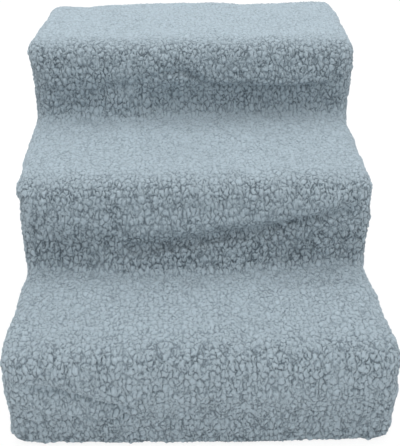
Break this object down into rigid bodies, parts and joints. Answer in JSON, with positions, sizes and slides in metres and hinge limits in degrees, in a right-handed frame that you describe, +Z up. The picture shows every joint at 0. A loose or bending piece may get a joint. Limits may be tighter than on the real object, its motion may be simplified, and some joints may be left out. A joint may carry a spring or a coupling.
{
  "type": "pet stairs",
  "caption": "Low indoor stairs for a pet: a snap-together plastic frame of stepped decks under a padded, lift-off fleece slipcover with an elastic hem.",
  "frame": {"origin": "on the floor, under the middle of the covered stairs' box", "axes": "+Z up, +Y from the lowest step's front to the back of the stairs, +X to the right seen from the front"},
  "size_m": [0.4044, 0.5976, 0.3178],
  "materials": {
    "frame_plastic": "moulded polypropylene, fine satin texture",
    "fastener_plastic": "smooth moulded nylon",
    "foot_rubber": "matt thermoplastic rubber",
    "foam": "open-cell foam sheet, cut edges",
    "lining": "thin warp-knit lining",
    "fleece": "blue-grey nubby fleece with short curled pile",
    "elastic": "woven flat elastic"
  },
  "bodies": {
    "frame": {"deck_low": "frame_plastic", "side_panel_low_left": "frame_plastic", "side_panel_low_right": "frame_plastic", "deck_mid": "frame_plastic", "side_panel_mid_left": "frame_plastic", "side_panel_mid_right": "frame_plastic", "deck_top": "frame_plastic", "side_panel_top_left": "frame_plastic", "side_panel_top_right": "frame_plastic", "rail_front": "frame_plastic", "rail_low_1": "frame_plastic", "rail_mid_1": "frame_plastic", "rail_mid_2": "frame_plastic", "rail_top_1": "frame_plastic", "rail_top_2": "frame_plastic", "rail_top_3": "frame_plastic", "link_keys": "fastener_plastic", "rail_rivets": "fastener_plastic", "foot_low_left_front": "foot_rubber", "foot_low_left_rear": "foot_rubber", "foot_low_right_front": "foot_rubber", "foot_low_right_rear": "foot_rubber", "foot_mid_left_front": "foot_rubber", "foot_mid_left_rear": "foot_rubber", "foot_mid_right_front": "foot_rubber", "foot_mid_right_rear": "foot_rubber", "foot_top_left_front": "foot_rubber", "foot_top_left_rear": "foot_rubber", "foot_top_right_front": "foot_rubber", "foot_top_right_rear": "foot_rubber"},
    "cover": {"tread_pad_low": "foam", "tread_pad_mid": "foam", "tread_pad_top": "foam", "pad_lining_low": "lining", "pad_lining_mid": "lining", "pad_lining_top": "lining", "fleece_steps": "fleece", "fleece_left": "fleece", "fleece_right": "fleece", "fleece_back": "fleece", "hem_casing": "fleece", "hem_elastic": "elastic"}
  },
  "joints": [
    {"name": "cover_lift", "type": "slide", "parent": "frame", "child": "cover", "axis": [0, 0, 1], "range_m": [0, 0.32]}
  ]
}
